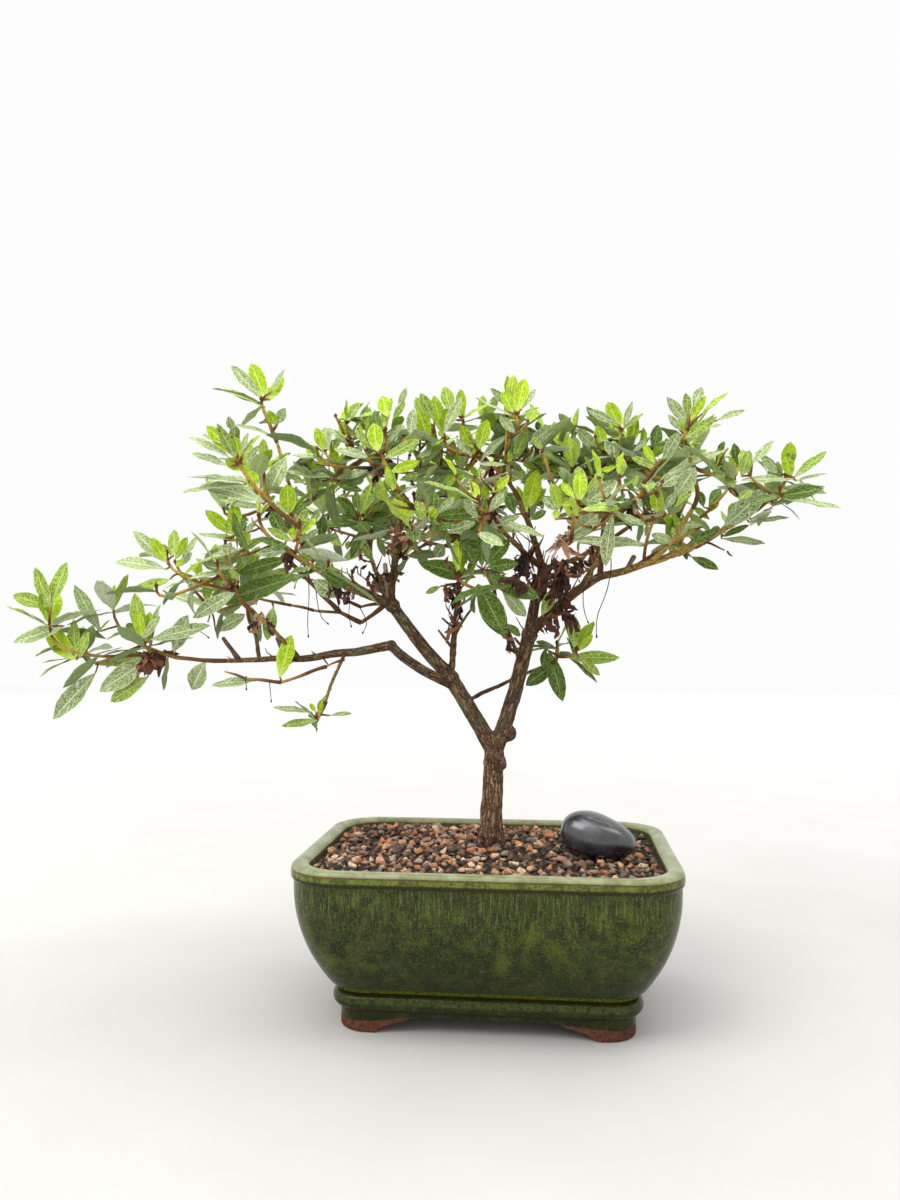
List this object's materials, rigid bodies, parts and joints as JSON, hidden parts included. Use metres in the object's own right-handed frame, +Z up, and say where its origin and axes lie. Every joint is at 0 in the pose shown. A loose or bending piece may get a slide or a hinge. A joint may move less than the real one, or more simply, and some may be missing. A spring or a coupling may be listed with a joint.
{
  "type": "azalea bonsai in a pot",
  "caption": "Small azalea bonsai with a forked trunk and spreading leafy boughs, in a glazed rectangular pot with cloud feet, filled with gravel.",
  "frame": {"origin": "middle of the bounding box's underside, on the plane that the pot's feet stand on; the pot's own middle lies to the right of it, because the tree reaches further to the left", "axes": "+X to the right along the pot's long side as seen from the front, +Y to the back, +Z up"},
  "size_m": [0.4688, 0.2186, 0.3712],
  "materials": {
    "glaze": "gloss",
    "gravel": "matte",
    "pebble": "gloss",
    "bark": "matte",
    "leaves": "satin",
    "withered": "matte"
  },
  "bodies": {
    "root": {"back_bough": "bark", "back_leaves": "leaves", "back_left_leaves": "leaves", "far_left_leaves": "leaves", "far_right_leaves": "leaves", "flower_twig": "bark", "front_bough": "bark", "front_leaves": "leaves", "gravel": "gravel", "hanging_leaves": "leaves", "hanging_twig": "bark", "left_back_bough": "bark", "left_back_leaves": "leaves", "left_back_limb": "bark", "left_bough": "bark", "left_front_bough": "bark", "left_front_leaves": "leaves", "left_limb": "bark", "left_side_bough": "bark", "left_side_leaves": "leaves", "low_front_leaves": "leaves", "low_front_twig": "bark", "low_right_leaves": "leaves", "low_right_twig": "bark", "lower_left_limb": "bark", "middle_bough": "bark", "middle_leaves": "leaves", "middle_left_bough": "bark", "middle_left_leaves": "leaves", "middle_limb": "bark", "middle_top_leaves": "leaves", "pebble": "pebble", "pot": "glaze", "right_back_bough": "bark", "right_back_leaves": "leaves", "right_bough": "bark", "right_front_bough": "bark", "right_front_leaves": "leaves", "right_limb": "bark", "right_low_bough": "bark", "right_low_leaves": "leaves", "right_outer_bough": "bark", "right_rise_bough": "bark", "right_rise_leaves": "leaves", "right_top_leaves": "leaves", "right_upper_bough": "bark", "top_left_leaves": "leaves", "top_left_twig": "bark", "trunk": "bark", "upper_left_bough": "bark", "upper_left_leaves": "leaves", "upper_left_limb": "bark", "upright_bough": "bark", "withered_flowers": "withered"}
  },
  "joints": []
}
